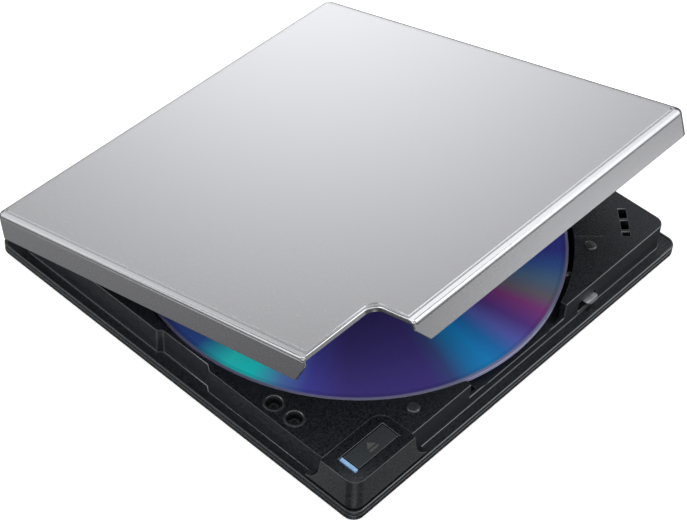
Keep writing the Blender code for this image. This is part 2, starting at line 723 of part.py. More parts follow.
def lid_shell():
    below = 3.0
    wide = HALF + LID_LEAN * below / (LID_Z[1] - LID_Z[0])
    shell = lid_plate("lid_shell", rectangle((-wide, wide), (-wide, wide), LID_CORNER),
                      (LID_Z[0] - below, LID_Z[1]), SILVER)
    lean_in(shell, Vector((0.0, 0.0)), (HALF - LID_LEAN) / wide)
    round_edges(shell, LID_ROUND, 4)
    cut(shell, lid_box("shell_below", (-80, 80), (-80, 80), (0, LID_Z[0])))
    inner = HALF - LID_SKIN
    cut(shell, lid_plate("shell_hollow", rectangle((-inner, inner), (-inner, inner),
                                                   LID_CORNER - LID_SKIN),
                         (LID_Z[0] - 1, LID_UNDER)))
    rim = lid_plate("notch_rim", notch_outline(NOTCH_RIM), (LID_RIM_Z, LID_UNDER + 0.3))
    keep_inside(rim, lid_box("rim_inside", (-66.2, 0), (-66.2, 0), (5, 15)))
    join(shell, rim)
    top = HALF - TOP_INSET
    middle = lid_plate("raised_middle", rectangle((-top, top), (-top, top), TOP_CORNER),
                       (LID_Z[1] - 0.4, LID_TOP))
    cut(middle, lid_plate("middle_notch", notch_outline(NOTCH_STEP), (5, 16)))
    join(shell, middle)
    cut(shell, lid_plate("notch", notch_outline(0.0), (5, 16)))
    lid_end_cuts(shell, "shell", 0.0)


def lid_liner():
    liner = lid_plate("lid_liner", rectangle((-LINER_HALF, LINER_HALF),
                                             (-LINER_HALF, LINER_HALF), LINER_CORNER),
                      (LINER_RIM_Z, LINER_Z[1]), LINER_BLACK)
    inner = LINER_HALF - LINER_WALL
    cut(liner, lid_plate("liner_hollow", rectangle((-inner, inner), (-inner, inner),
                                                   LINER_CORNER - LINER_WALL),
                         (LINER_RIM_Z - 1, LINER_Z[0])))
    cut(liner, lid_plate("liner_notch", notch_outline(1.2), (5, 16)))
    lid_end_cuts(liner, "liner", 2.0)
    for side in (-1, 1):
        tag = "left" if side < 0 else "right"
        window = sorted((side * (BASE_KNUCKLE_X[0] - 0.6), side * (LID_KNUCKLE_X[1] + 0.6)))
        cut(liner, lid_box(f"liner_window_{tag}", window, (64.0, 66), (6, LINER_Z[0])))
        x = sorted(side * end for end in LID_KNUCKLE_X)
        join(liner, lid_box(f"lid_arm_{tag}", x, (60.7, 63.9), (HINGE_Z, 13.0)))
        join(liner, lid_bar(f"lid_barrel_{tag}", KNUCKLE_R, x, 24))
        long_x = (x[0] - 2, x[1] + 2)
        cut(liner, lid_bar(f"lid_bore_{tag}", BORE_R, long_x, 16))


def lid_bar(name, radius, x, sides):
    return cylinder(name, radius, x, (0.0, 0.0), frame=HINGE, axis="X", sides=sides)


def lid_small_parts():
    lid_box("lid_striker", (33.5, 35.2), (-64.1, -63.5), (4.2, 12.3), STEEL)
    for name, x, y in (("bumper_left", -58.0, -44.0), ("bumper_right", 58.5, -36.0)):
        bumper = cylinder(name, 2.0, (11.9, 12.3), (x, y), RUBBER, HINGE, sides=16)
        bumper.location -= Vector((0.0, HINGE_Y, HINGE_Z)) * MM


def hinge_pins():
    for name, side in (("hinge_pin_left", -1), ("hinge_pin_right", 1)):
        x = sorted((side * (BASE_KNUCKLE_X[0] + 0.4), side * (LID_KNUCKLE_X[1] - 0.4)))
        cylinder(name, PIN_R, x, (HINGE_Y, HINGE_Z), STEEL, axis="X", sides=16)


bottom_case()
feet()
case_screws()
deck_frame()
deck_screws()
corner_pad()
open_button()
light_and_switch()
latch()
electronics()
usb_socket()
spindle()
chassis()
drive_line()
pickup()
lid_shell()
lid_liner()
lid_small_parts()
hinge_pins()
bpy.context.view_layer.update()
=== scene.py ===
"""Looks of the external optical drive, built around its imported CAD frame.

Sizes are in millimetres and MM turns them into metres. The frame is the CAD's own: X runs to
the right, Y to the hinge at the back and Z up from the surface the feet stand on.
"""
import json
import math

import bmesh
import bpy
from mathutils import Matrix, Vector

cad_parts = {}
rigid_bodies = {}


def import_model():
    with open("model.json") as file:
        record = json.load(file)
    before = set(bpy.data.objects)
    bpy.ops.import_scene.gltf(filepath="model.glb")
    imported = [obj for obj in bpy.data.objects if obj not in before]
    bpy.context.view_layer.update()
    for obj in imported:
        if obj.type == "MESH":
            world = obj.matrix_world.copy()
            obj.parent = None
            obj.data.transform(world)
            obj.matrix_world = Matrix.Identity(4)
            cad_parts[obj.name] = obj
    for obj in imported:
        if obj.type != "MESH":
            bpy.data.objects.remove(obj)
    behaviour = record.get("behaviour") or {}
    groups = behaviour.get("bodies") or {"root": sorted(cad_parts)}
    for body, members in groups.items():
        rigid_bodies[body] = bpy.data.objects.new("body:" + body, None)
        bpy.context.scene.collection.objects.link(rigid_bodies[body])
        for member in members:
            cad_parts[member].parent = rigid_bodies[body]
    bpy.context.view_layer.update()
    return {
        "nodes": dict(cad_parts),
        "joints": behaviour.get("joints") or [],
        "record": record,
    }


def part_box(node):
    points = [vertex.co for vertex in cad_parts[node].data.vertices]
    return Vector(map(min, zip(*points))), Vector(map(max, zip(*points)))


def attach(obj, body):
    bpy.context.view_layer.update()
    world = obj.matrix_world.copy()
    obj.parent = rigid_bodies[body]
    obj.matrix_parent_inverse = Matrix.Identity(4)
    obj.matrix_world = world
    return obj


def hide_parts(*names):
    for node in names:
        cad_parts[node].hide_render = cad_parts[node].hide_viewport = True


MM = 0.001

for old in list(bpy.data.objects):
    bpy.data.objects.remove(old)
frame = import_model()
NODES = frame["nodes"]

# Lid, in the coordinates it has when closed, and the turn that opens it
SHIFT_Y = -0.5              # the case's centre line lies this far in front of the origin
HALF = 66.5                 # half of the lid's width and of its depth
LID_CORNER = 2.4
INNER_CORNER = 0.9          # least radius of the corners further in
LID_LOW = 6.3               # foot of the skirt
LID_EDGE_Z = 14.55          # height that the shoulder's arc would reach at 90 degrees
LID_TOP_Z = 14.8            # raised middle
BAND_Z = 14.66              # top of the gentle slope inside the shoulder, below the step
BAND_END = 2.0              # its distance from the lid's side
BAND_ROUND = 0.4            # radius of its outer edge, with the start of that arc in degrees
BAND_START = 115
LID_ROUND = 1.7             # radius of the shoulder, with the end of its arc in degrees
SHOULDER_END = 128
LID_LEAN = math.radians(3.5)    # of the sides, inwards from their foot
LID_SKIN = 1.1              # thickness of the skirt
LID_UNDER = 13.75           # underside of the lid's top
INNER_ROUND = 0.8           # between that underside and the skirt
FOOT_ROUND = 0.3
TOP_INSET = 2.6             # from the lid's side to its raised middle
STEP_FOOT = 0.05            # radii of the step up to that middle, at its foot and at its top
STEP_ROUND = 0.15
NOTCH_X = -41.7
NOTCH_Y = -53.1
NOTCH_R = 3.2
NOTCH_ROUND = 0.4           # rounding of the notch's upper edge
NOTCH_STEP = 0.9            # the raised middle stays this far back from the notch
RIM_Z = 13.1                # lower edge of the rim around the notch
RIM_WIDTH = 0.8
RIM_REACH = 66.2            # the rim ends inside the skirts
END_Z = 11.7                # where the skirts' ends start to slant away from the notch
SIDE_END_Y = -48.2
FRONT_END_X = -36.5
BEYOND = -72.0              # past the lid's left side and past its front
NEAR_SKIRT = (-70, -60)     # X span across the left skirt, and Y span across the front one
RIGHT_SKIRT = (60, 70)
PORT_Y = (26.5, 45.5)
PORT_GAP_Z = 9.9            # top of the skirt's gap over the port block

# Deck and button
DECK_TOP = 11.45
RECESS_R = 2.2              # opening of the collars over the deck's screws
RECESS_RISE = 0.15          # of those collars, over the deck
STUDS = [(-35.6, -57.6), (41.3, -53.9)]
STUD_R = 1.66
BUTTON_LIP = 0.9            # hidden edge along the button's right end; its left end has none
SYMBOL = 1.5                # half of the eject symbol's width

# Disc and spindle
DISC_Y = -2.9
DISC_R = 60.0
HOLE_R = 7.5
DISC_RIM = 0.2              # rounding of the disc's two edges
CROWN_R = 7.1               # hub inside the disc's hole
FLANGE_R = 12.0             # hub under the disc
FLANGE_TOP = 7.5
HUB_WALL_R = 10.8           # hub's skirt, under that flange
HUB_LOW = 4.9
SHAFT_R = 0.97
SHAFT_LOW = 3.5
LINER_IN = 12.7             # height inside the liner that its rings and ribs start from
RIB_LOW = 12.2
RIB_SPAN = (16.3, 59.6)     # radii that the ribs run between

SHARP = math.radians(38)    # edges over this angle are rounded and stay crisp
WELD_GAP = 0.000002         # metres, under which two vertices are one
CORE = 0.02                 # turned pieces that have no hole start this far from their axis


def joint_named(name):
    return next(joint for joint in frame["joints"] if joint["name"] == name)


HINGE = Vector(joint_named("lid_hinge")["pos_m"])
LID_TURN = math.radians(joint_named("lid_hinge")["range_deg"][0])
OPEN_LID = (Matrix.Translation(HINGE) @ Matrix.Rotation(LID_TURN, 4, "X")
            @ Matrix.Translation(-HINGE))


# ---------------------------------------------------------------- node helpers

def add_node(tree, kind, inputs=None, **settings):
    """New node with its settings and with values or links on its inputs."""
    made = tree.nodes.new(kind)
    for key, value in settings.items():
        setattr(made, key, value)
    for socket, value in (inputs or {}).items():
        if isinstance(value, bpy.types.NodeSocket):
            tree.links.new(value, made.inputs[socket])
        else:
            made.inputs[socket].default_value = value
    return made


def maths(tree, operation, first, second=0.0, third=0.0):
    made = add_node(tree, "ShaderNodeMath", {0: first, 1: second, 2: third}, operation=operation)
    return made.outputs[0]


def new_material(name, roughness=0.5, metallic=0.0, **uniform):
    """Material with a Principled shader; uniform values go straight on its sockets."""
    mat = bpy.data.materials.new(name)
    mat.use_nodes = True
    tree = mat.node_tree
    shader = tree.nodes["Principled BSDF"]
    shader.inputs["Roughness"].default_value = roughness
    shader.inputs["Metallic"].default_value = metallic
    for socket, value in uniform.items():
        shader.inputs[socket.replace("_", " ")].default_value = value
    return mat, tree, shader


def object_noise(tree, scale, detail=2.0, stretch=(1.0, 1.0, 1.0)):
    """Noise fixed to the piece itself, with its grains about 1/scale metres across."""
    place = tree.nodes.get("place") or add_node(tree, "ShaderNodeTexCoord", name="place")
    mapping = add_node(tree, "ShaderNodeMapping",
                       {"Vector": place.outputs["Object"], "Scale": stretch})
    noise = add_node(tree, "ShaderNodeTexNoise",
                     {"Vector": mapping.outputs[0], "Scale": scale, "Detail": detail})
    return noise.outputs["Fac"]


def ramp(tree, factor, stops):
    """Colour ramp through (position, colour) stops."""
    made = add_node(tree, "ShaderNodeValToRGB", {"Fac": factor})
    elements = made.color_ramp.elements
    while len(elements) < len(stops):
        elements.new(0.5)
    for element, (position, colour) in zip(elements, stops):
        element.position = position
        element.color = (*colour, 1.0)
    return made.outputs["Color"]


def grey(value):
    return (value, value, value)


def spread(tree, factor, low, high):
    """Map a noise's usual span, 0.25 to 0.75, onto low to high, with nothing cut off."""
    made = add_node(tree, "ShaderNodeMapRange", {"Value": factor, "From Min": 0.25,
                                                 "From Max": 0.75, "To Min": low,
                                                 "To Max": high}, clamp=False)
    return made.outputs["Result"]


def bump(tree, shader, height, distance):
    made = add_node(tree, "ShaderNodeBump", {"Height": height, "Distance": distance * MM,
                                             "Strength": 1.0})
    tree.links.new(made.outputs[0], shader.inputs["Normal"])


# ---------------------------------------------------------------- materials

COOL = (0.86, 0.93, 1.0, 1.0)    # tint of the black plastic's sheen


def textured_plastic(name, dark, light, rough, grain, depth, specular=0.5, coat=0.0):
    """Spark-eroded plastic: a fine even grain in colour, gloss and height."""
    mat, tree, shader = new_material(name, Specular_IOR_Level=specular, Specular_Tint=COOL,
                                     Coat_Weight=coat, Coat_Roughness=0.22)
    fine = object_noise(tree, grain, 3.0)
    colour = ramp(tree, fine, [(0.3, dark), (0.7, light)])
    tree.links.new(colour, shader.inputs["Base Color"])
    tree.links.new(spread(tree, fine, *rough), shader.inputs["Roughness"])
    bump(tree, shader, fine, depth)
    return mat


def satin_metal(name, colour, rough, grain=5000.0, depth=0.004):
    """Pale metallic finish with fine flakes that differ a little in colour and gloss."""
    mat, tree, shader = new_material(name, metallic=1.0)
    flakes = object_noise(tree, grain, 2.0)
    low = tuple(channel * 0.95 for channel in colour)
    tree.links.new(ramp(tree, flakes, [(0.2, low), (0.8, colour)]), shader.inputs["Base Color"])
    tree.links.new(spread(tree, flakes, rough - 0.02, rough + 0.02), shader.inputs["Roughness"])
    bump(tree, shader, flakes, depth)
    return mat


def brushed_metal(name, colour, rough, metallic=1.0):
    """Machined metal with streaks along its length."""
    mat, tree, shader = new_material(name, metallic=metallic)
    streaks = object_noise(tree, 1500.0, 3.0, (0.1, 1.0, 1.0))
    low = tuple(channel * 0.8 for channel in colour)
    tree.links.new(ramp(tree, streaks, [(0.3, low), (0.7, colour)]), shader.inputs["Base Color"])
    tree.links.new(spread(tree, streaks, rough - 0.08, rough + 0.08),
                   shader.inputs["Roughness"])
    bump(tree, shader, streaks, 0.01)
    return mat


def mottled(name, dark, light, rough, grain=600.0, depth=0.02, metallic=0.0):
    """Plain moulded or coated surface with faint mottling."""
    mat, tree, shader = new_material(name, metallic=metallic)
    patches = object_noise(tree, grain, 4.0)
    tree.links.new(ramp(tree, patches, [(0.3, dark), (0.7, light)]),
                   shader.inputs["Base Color"])
    tree.links.new(spread(tree, patches, rough - 0.06, rough + 0.06),
                   shader.inputs["Roughness"])
    bump(tree, shader, patches, depth)
    return mat


def lit_plastic(name, colour, strength):
    mat, tree, shader = new_material(name, 0.25)
    glow = object_noise(tree, 900.0, 2.0)
    pale = tuple(channel * 0.8 for channel in colour)
    tint = ramp(tree, glow, [(0.2, pale), (0.8, colour)])
    tree.links.new(tint, shader.inputs["Base Color"])
    tree.links.new(tint, shader.inputs["Emission Color"])
    shader.inputs["Emission Strength"].default_value = strength
    return mat


# Painted reflection: the disc's rainbow sheen as colours round it, in degrees from +X, over one
# half turn that then repeats, each also brightened or dimmed for the light falling there
SHEEN_WEDGES = [(190, (0.043, 0.950, 0.950)), (197, (0.026, 0.950, 0.950)),
          (205, (0.137, 0.292, 0.741)), (212, (0.104, 0.098, 0.560)),
          (222, (0.086, 0.065, 0.322)), (245, (0.085, 0.061, 0.319)),
          (250, (0.067, 0.099, 0.314)), (256, (0.026, 0.263, 0.634)),
          (261, (0.020, 0.324, 0.784)), (266, (0.028, 0.235, 0.666)),
          (272, (0.137, 0.160, 0.615)), (278, (0.138, 0.064, 0.350)),
          (285, (0.307, 0.068, 0.307)), (290, (0.208, 0.186, 0.241)),
          (296, (0.119, 0.224, 0.378)), (302, (0.064, 0.148, 0.477)),
          (308, (0.057, 0.068, 0.420)), (340, (0.073, 0.052, 0.343)),
          (360, (0.049, 0.137, 0.501)), (370, (0.043, 0.950, 0.950))]
DISC_EDGE_COLOUR = (0.24, 0.24, 0.40, 1.0)


def disc_media():
    """Recorded side of the disc: its rainbow sheen painted as coloured wedges, fine tracks, a
    pale edge and a grey middle.
    """
    mat, tree, shader = new_material("disc_media", 0.22, Coat_Weight=0.6, Coat_Roughness=0.08)
    place = add_node(tree, "ShaderNodeTexCoord")
    split = add_node(tree, "ShaderNodeSeparateXYZ", {0: place.outputs["Object"]})
    x = split.outputs[0]
    y = maths(tree, "SUBTRACT", split.outputs[1], (DISC_Y + SHIFT_Y) * MM)
    angle = maths(tree, "ARCTAN2", y, x)
    start = math.radians(SHEEN_WEDGES[0][0])
    half_turns = maths(tree, "DIVIDE", maths(tree, "SUBTRACT", angle, start), math.pi)
    share = maths(tree, "FRACT", maths(tree, "ADD", half_turns, 4.0))
    # Painted reflection: the sheen's colour set by the angle round the disc
    painted_sheen = ramp(tree, share, [((degrees - SHEEN_WEDGES[0][0]) / 180, colour)
                                for degrees, colour in SHEEN_WEDGES])
    squares = maths(tree, "ADD", maths(tree, "MULTIPLY", x, x), maths(tree, "MULTIPLY", y, y))
    radius = maths(tree, "SQRT", squares)
    # From here on, ramps run over the share of the disc's radius
    share_out = maths(tree, "DIVIDE", radius, DISC_R * MM)
    zones = ramp(tree, share_out, [(0.0, grey(0.30)), (0.30, grey(0.32)), (0.365, grey(0.0)),
                                   (0.375, grey(1.0)), (0.965, grey(1.0)),
                                   (0.972, grey(0.8)), (0.984, grey(0.85))])
    media = add_node(tree, "ShaderNodeMix", data_type="RGBA", blend_type="MULTIPLY")
    media.inputs[0].default_value = 1.0
    tree.links.new(painted_sheen, media.inputs[6])
    tree.links.new(zones, media.inputs[7])
    rim = add_node(tree, "ShaderNodeMix", data_type="RGBA")
    tree.links.new(ramp(tree, share_out, [(0.984, grey(0.0)), (0.988, grey(1.0))]), rim.inputs[0])
    tree.links.new(media.outputs[2], rim.inputs[6])
    rim.inputs[7].default_value = DISC_EDGE_COLOUR
    tree.links.new(rim.outputs[2], shader.inputs["Base Color"])
    tree.links.new(ramp(tree, share_out, [(0.0, grey(0.2)), (0.36, grey(0.25)),
                                          (0.38, grey(0.1)), (0.96, grey(0.1)),
                                          (0.98, grey(0.05))]), shader.inputs["Metallic"])
    tracks = add_node(tree, "ShaderNodeTexWave", {"Vector": place.outputs["Object"],
                                                  "Scale": 900.0}, wave_type="RINGS",
                      rings_direction="Z")
    tree.links.new(spread(tree, tracks.outputs["Fac"], 0.2, 0.26), shader.inputs["Roughness"])
    return mat


PLASTIC = textured_plastic("black_plastic", (0.0012, 0.0016, 0.0024), (0.019, 0.022, 0.027),
                           (0.28, 0.48), 1900.0, 0.17)
# Lighter than the black plastic: paints highlights on rounded edges, screw collars and stud caps
PAINTED_HIGHLIGHT_PLASTIC = textured_plastic("black_plastic_painted_highlight", (0.024, 0.025, 0.028),
                                (0.042, 0.044, 0.048), (0.2, 0.32), 2600.0, 0.01,
                                specular=1.0, coat=0.8)
LINER = textured_plastic("liner_plastic", (0.007, 0.008, 0.009), (0.014, 0.015, 0.018),
                         (0.5, 0.65), 1800.0, 0.02)
SILVER = satin_metal("satin_silver_paint", (0.61, 0.613, 0.64), 0.26)
STEEL = brushed_metal("bright_steel", (0.62, 0.62, 0.64), 0.3)
DARK_STEEL = brushed_metal("black_oxide_steel", (0.10, 0.10, 0.11), 0.4, 0.8)
ZINC = mottled("cast_zinc", (0.36, 0.37, 0.39), (0.5, 0.51, 0.53), 0.42, metallic=0.7)
RUBBER = mottled("foot_rubber", grey(0.012), grey(0.024), 0.85, 1500.0, 0.03)
BOARD = mottled("solder_mask", (0.006, 0.07, 0.025), (0.012, 0.11, 0.04), 0.35, 900.0)
CHIP = mottled("chip_epoxy", grey(0.010), grey(0.018), 0.5, 2000.0)
FLEX = mottled("polyimide_film", (0.45, 0.2, 0.04), (0.6, 0.28, 0.06), 0.3, 300.0)
GLOW = lit_plastic("lit_light_pipe", (0.27, 0.46, 0.72), 0.2)
HUB = mottled("hub_plastic", grey(0.16), grey(0.2), 0.45, 1500.0)
PRINT = mottled("grey_print", grey(0.07), grey(0.09), 0.5, 3000.0, 0.004)
LABEL = mottled("label_film", grey(0.52), grey(0.58), 0.5, 1500.0, 0.004)
PAD_PLASTIC = textured_plastic("pad_plastic", (0.0012, 0.0016, 0.0024), (0.012, 0.014, 0.017),
                               (0.24, 0.38), 1900.0, 0.08, specular=0.9, coat=0.7)
BUTTON = textured_plastic("button_plastic", (0.022, 0.025, 0.028), (0.034, 0.037, 0.04),
                          (0.42, 0.56), 2600.0, 0.03)
DISC = disc_media()


def lens_glass():
    mat, tree, shader = new_material("coated_lens", 0.04, Coat_Weight=1.0)
    tint = ramp(tree, object_noise(tree, 400.0), [(0.3, (0.12, 0.2, 0.45)),
                                                  (0.7, (0.3, 0.18, 0.5))])
    tree.links.new(tint, shader.inputs["Base Color"])
    return mat


LENS = lens_glass()
SLOT_MATERIALS = {
    "textured_black": PLASTIC, "satin_silver": SILVER, "liner_black": LINER, "steel": STEEL,
    "dark_steel": DARK_STEEL, "zinc": ZINC, "rubber": RUBBER, "board": BOARD, "chip": CHIP,
    "flex": FLEX, "light_pipe": GLOW, "lens_glass": LENS, "disc": DISC, "hub_grey": HUB}


# ---------------------------------------------------------------- geometry helpers

def smooth_group():
    """Geometry nodes that shade faces smooth and keep edges over an angle sharp."""
    tree = bpy.data.node_groups.new("smooth_by_angle", "GeometryNodeTree")
    tree.interface.new_socket("Geometry", in_out="INPUT", socket_type="NodeSocketGeometry")
    tree.interface.new_socket("Geometry", in_out="OUTPUT", socket_type="NodeSocketGeometry")
    start = add_node(tree, "NodeGroupInput")
    end = add_node(tree, "NodeGroupOutput")
    angle = add_node(tree, "GeometryNodeInputMeshEdgeAngle")
    sharp = add_node(tree, "FunctionNodeCompare", {"A": angle.outputs[0], "B": SHARP},
                     data_type="FLOAT", operation="GREATER_THAN")
    faces = add_node(tree, "GeometryNodeSetShadeSmooth", {"Geometry": start.outputs[0],
                                                          "Shade Smooth": True})
    edges = add_node(tree, "GeometryNodeSetShadeSmooth", {"Geometry": faces.outputs[0],
                                                          "Selection": sharp.outputs[0],
                                                          "Shade Smooth": False})
    edges.domain = "EDGE"
    tree.links.new(edges.outputs[0], end.inputs[0])
    return tree


SMOOTH = smooth_group()


def finish_edges(obj, width, segments=2, edge_slot=None, flatness=0.5):
    """Clean a faceted mesh, round its sharp edges and shade it smooth, all by modifiers."""
    weld = obj.modifiers.new("weld", "WELD")
    weld.merge_threshold = WELD_GAP
    flat = obj.modifiers.new("flat faces", "DECIMATE")
    flat.decimate_type = "DISSOLVE"
    flat.angle_limit = math.radians(flatness)
    if width > 0:
        bevel = obj.modifiers.new("rounded edges", "BEVEL")
        bevel.width = width * MM
        bevel.segments = segments
        bevel.limit_method = "ANGLE"
        bevel.angle_limit = SHARP
        bevel.use_clamp_overlap = False
        if edge_slot is not None:
            bevel.material = edge_slot
    smooth = obj.modifiers.new("smooth", "NODES")
    smooth.node_group = SMOOTH
    normals = obj.modifiers.new("even normals", "WEIGHTED_NORMAL")
    normals.keep_sharp = True
    normals.weight = 100


def set_materials(obj, *materials):
    obj.data.materials.clear()
    for mat in materials:
        obj.data.materials.append(mat)


EDGE_WIDTH = {"deck_frame": 0.26, "bottom_case": 0.2, "corner_pad": 0.12, "open_button": 0.15,
              "lid_liner": 0.15, "latch_hook": 0.2}
SMALL_EDGE = 0.06           # for every other node
FACES = {"open_button": BUTTON, "corner_pad": PAD_PLASTIC}    # in place of PLASTIC


def dress_cad_nodes():
    """Give every CAD node its material and rounded edges, those of black plastic in a lighter
    plastic that paints highlights along them.
    """
    for part in frame["record"]["subparts"]:
        name = part["node"]
        mat = SLOT_MATERIALS[part["material_slot"]]
        if mat is PLASTIC:
            set_materials(NODES[name], FACES.get(name, PLASTIC), PAINTED_HIGHLIGHT_PLASTIC)
            finish_edges(NODES[name], EDGE_WIDTH[name], edge_slot=1)
        else:
            set_materials(NODES[name], mat)
            finish_edges(NODES[name], EDGE_WIDTH.get(name, SMALL_EDGE), segments=1)


dress_cad_nodes()


# ---------------------------------------------------------------- outlines and solids

def link(name, data):
    """New object in the scene, made of a mesh, a light or a camera."""
    obj = bpy.data.objects.new(name, data)
    bpy.context.scene.collection.objects.link(obj)
    return obj


def mesh_of(name, bm):
    bmesh.ops.recalc_face_normals(bm, faces=bm.faces)
    mesh = bpy.data.meshes.new(name)
    bm.to_mesh(mesh)
    bm.free()
    return mesh


def rounded(corners, steps=10):
    """Closed outline through (x, y, radius) corners, each radius turned into an arc."""
    outline = []
    count = len(corners)
    for index, (x, y, radius) in enumerate(corners):
        corner = Vector((x, y))
        if radius == 0:
            outline.append(corner)
            continue
        before = (Vector(corners[index - 1][:2]) - corner).normalized()
        after = (Vector(corners[(index + 1) % count][:2]) - corner).normalized()
        half_angle = before.angle(after) / 2
        reach = radius / math.tan(half_angle)
        centre = corner + (before + after).normalized() * radius / math.sin(half_angle)
        start = corner + before * reach - centre
        turn = start.angle_signed(corner + after * reach - centre)
        for step in range(steps + 1):
            outline.append(centre + Matrix.Rotation(-turn * step / steps, 2) @ start)
    return outline


def rectangle(low, high, radius=0, steps=10):
    """Outline of the rectangle between two opposite corners."""
    return rounded([(*low, radius), (high[0], low[1], radius),
                    (*high, radius), (low[0], high[1], radius)], steps)


def prism(name, outline, span, across="Z"):
    """Solid of a flat outline, given thickness along Z, or along Y or X for upright ones."""
    place = {"Z": lambda u, v, w: (u, v, w), "Y": lambda u, v, w: (u, w, v),
             "X": lambda u, v, w: (w, u, v)}[across]
    bm = bmesh.new()
    rings = [[bm.verts.new(Vector(place(u, v, level)) * MM) for u, v in outline]
             for level in span]
    bm.faces.new(rings[0])
    bm.faces.new(rings[1])
    bridge(bm, *rings)
    return link(name, mesh_of(name, bm))


def bridge(bm, first, second):
    for index in range(len(first)):
        bm.faces.new((first[index - 1], first[index], second[index], second[index - 1]))


def combine(obj, operation, *others):
    """Boolean with each of the others in turn, applied, and the others removed."""
    for other in others:
        step = obj.modifiers.new(other.name, "BOOLEAN")
        step.operation = operation
        step.solver = "EXACT"
        step.object = other
    apply_modifiers(obj)
    for other in others:
        bpy.data.objects.remove(other)


def apply_modifiers(obj):
    bpy.context.view_layer.update()
    graph = bpy.context.evaluated_depsgraph_get()
    mesh = bpy.data.meshes.new_from_object(obj.evaluated_get(graph))
    obj.modifiers.clear()
    obj.data = mesh


def arc(centre, radius, start, end, steps):
    """Points of a profile's arc, with its angles in degrees."""
    turns = [math.radians(start + (end - start) * step / steps) for step in range(steps + 1)]
    return [(centre[0] + radius * math.cos(turn), centre[1] + radius * math.sin(turn))
            for turn in turns]


# ---------------------------------------------------------------- lid shell

def step_up(inset):
    """(inset, height) points of the small rounded step up to the lid's raised middle."""
    low = arc((inset - 0.1, BAND_Z + STEP_FOOT), STEP_FOOT, -90, -30, 3)
    high = arc((inset + 0.2, LID_TOP_Z - STEP_ROUND), STEP_ROUND, 150, 90, 5)
    return low + high


def lid_profile():
    """(inset, height) points from the underside's edge, round the skirt, to the top's edge."""
    inner = arc((LID_SKIN + INNER_ROUND, LID_UNDER - INNER_ROUND), INNER_ROUND, 90, 180, 6)
    foot = LID_LOW + FOOT_ROUND
    foot_in = arc((LID_SKIN - FOOT_ROUND, foot), FOOT_ROUND, 0, -90, 4)
    foot_out = arc((FOOT_ROUND, foot), FOOT_ROUND, -90, -180, 4)
    turn = LID_EDGE_Z - LID_ROUND
    side_top = turn + LID_ROUND * math.sin(LID_LEAN)
    centre = (side_top - LID_LOW) * math.tan(LID_LEAN) + LID_ROUND * math.cos(LID_LEAN)
    shoulder = arc((centre, turn), LID_ROUND, 180 - math.degrees(LID_LEAN), SHOULDER_END, 8)
    band = arc((BAND_END + 0.1, BAND_Z - BAND_ROUND), BAND_ROUND, BAND_START, 90, 4)
    return inner + foot_in + foot_out + shoulder + band + step_up(TOP_INSET)


def stack(name, outlines):
    """Solid through a stack of (outline, height) rings that all have as many points."""
    bm = bmesh.new()
    rings = [[bm.verts.new((x * MM, y * MM, height * MM)) for x, y in outline]
             for outline, height in outlines]
    bm.faces.new(rings[0])
    bm.faces.new(rings[-1])
    for first, second in zip(rings, rings[1:]):
        bridge(bm, first, second)
    return link(name, mesh_of(name, bm))


def lid_blank():
    """Whole lid before its corner is notched."""
    rings = []
    for inset, height in lid_profile():
        half = HALF - inset
        corner = max(LID_CORNER - inset, INNER_CORNER)
        rings.append((shifted(rectangle((-half, -half), (half, half), corner)), height))
    return stack("lid_skin", rings)


def shifted(outline):
    return [(x, y + SHIFT_Y) for x, y in outline]


def notch_outline(grow):
    """Corner that the lid leaves free over the pad, grown into the lid by some amount."""
    return shifted(rounded([(-80, -80, 0), (NOTCH_X + grow, -80, 0),
                            (NOTCH_X + grow, NOTCH_Y + grow, NOTCH_R), (-80, NOTCH_Y + grow, 0)]))


def notch_tool():
    """Cutter for the notch, flared at its top into the rounded edge and the step."""
    edge = arc((NOTCH_ROUND, BAND_Z - NOTCH_ROUND), NOTCH_ROUND, 180, 90, 8)
    levels = [(0.0, LID_LOW - 1)] + edge + step_up(NOTCH_STEP)
    levels.append((levels[-1][0], LID_TOP_Z + 1))
    return stack("notch", [(notch_outline(grow), height) for grow, height in levels])


def slant(inner, outer):
    """Outline of what a skirt's end lacks: a soft corner, then a slant down to its foot."""
    low = LID_LOW - 1
    lower = rounded([(inner, RIM_Z, 0), (inner, END_Z, 1.0), (outer, low, 0),
                     (BEYOND, low, 0)], 6)[1:]
    return lower + [Vector((BEYOND, lower[0].y))]


def end_cutters():
    """Slanting ends of the two skirts beside the notch, and the gap over the port block."""
    low = LID_LOW - 1
    front, back = (end + SHIFT_Y for end in PORT_Y)
    port = [(front - 4, low), (back + 4, low), (back + 1.5, PORT_GAP_Z),
            (front - 1.5, PORT_GAP_Z)]
    side = slant(NOTCH_Y + SHIFT_Y, SIDE_END_Y + SHIFT_Y)
    return [prism("side_end", side, NEAR_SKIRT, "X"),
            prism("front_end", slant(NOTCH_X, FRONT_END_X), NEAR_SKIRT, "Y"),
            prism("port_gap", port, RIGHT_SKIRT, "X")]


def weigh_edges(obj, below):
    """Mark the sharp edges under some height for the bevel."""
    bm = bmesh.new()
    bm.from_mesh(obj.data)
    weight = bm.edges.layers.float.new("bevel_weight_edge")
    for edge in bm.edges:
        low = max(corner.co.z for corner in edge.verts) < below * MM
        if low and edge.is_manifold and edge.calc_face_angle() > SHARP:
            edge[weight] = 1.0
    bm.to_mesh(obj.data)
    bm.free()


